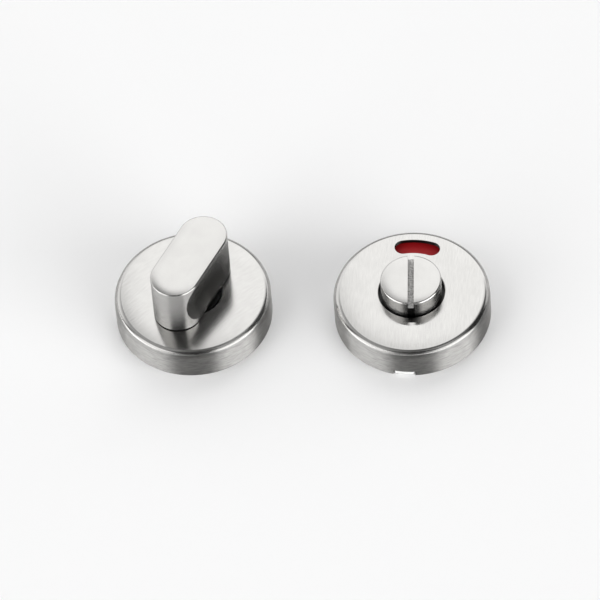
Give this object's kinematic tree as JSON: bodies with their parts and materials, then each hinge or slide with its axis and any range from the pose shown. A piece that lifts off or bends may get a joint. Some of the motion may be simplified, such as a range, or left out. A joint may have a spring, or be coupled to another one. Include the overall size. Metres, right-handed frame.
{
  "type": "bathroom door lock",
  "caption": "Bathroom door lock set on round steel roses: a thumbturn half with an oblong scooped knob, and a coin-slot release half with a red and white indicator window.",
  "frame": {"origin": "middle of the set's footprint, on the plane of the door faces of the two roses", "axes": "+Z out of the door face along both rotors' axes, +X from the thumbturn half to the release half, +Y towards the indicator window"},
  "size_m": [0.1244, 0.0576, 0.0314],
  "materials": {
    "steel_rose": "satin stainless steel, brushed round the rim",
    "steel_knob": "satin stainless steel, brushed",
    "steel_button": "satin stainless steel, turned",
    "steel_hub": "turned steel",
    "steel_spring": "spring steel",
    "steel_dark": "blackened steel",
    "plate": "moulded light grey nylon",
    "nylon_white": "moulded white nylon",
    "disc_white": "moulded white plastic",
    "indicator_red": "red film"
  },
  "bodies": {
    "roses": {"turn_rose_cover": "steel_rose", "turn_fixing_plate": "plate", "turn_bush": "nylon_white", "turn_spring_washer": "steel_spring", "release_rose_cover": "steel_rose", "release_fixing_plate": "plate", "release_bush": "nylon_white", "release_spring_washer": "steel_spring"},
    "thumbturn": {"thumbturn_knob": "steel_knob", "turn_grub_screw": "steel_dark", "turn_spindle_hub": "steel_hub", "turn_stop_washer": "steel_spring", "turn_circlip": "steel_dark"},
    "release": {"release_button": "steel_button", "indicator_disc": "disc_white", "indicator_red_field": "indicator_red", "release_stop_washer": "steel_spring", "release_circlip": "steel_dark"}
  },
  "joints": [
    {"name": "thumbturn_turn", "type": "hinge", "parent": "roses", "child": "thumbturn", "pos_m": [-0.03625, -0.0028, 0], "axis": [0, 0, 1], "range_deg": [-68.1, 21.9]},
    {"name": "release_turn", "type": "hinge", "parent": "roses", "child": "release", "pos_m": [0.03625, 0.0028, 0], "axis": [0, 0, 1], "range_deg": [-5.8, 84.2]}
  ]
}
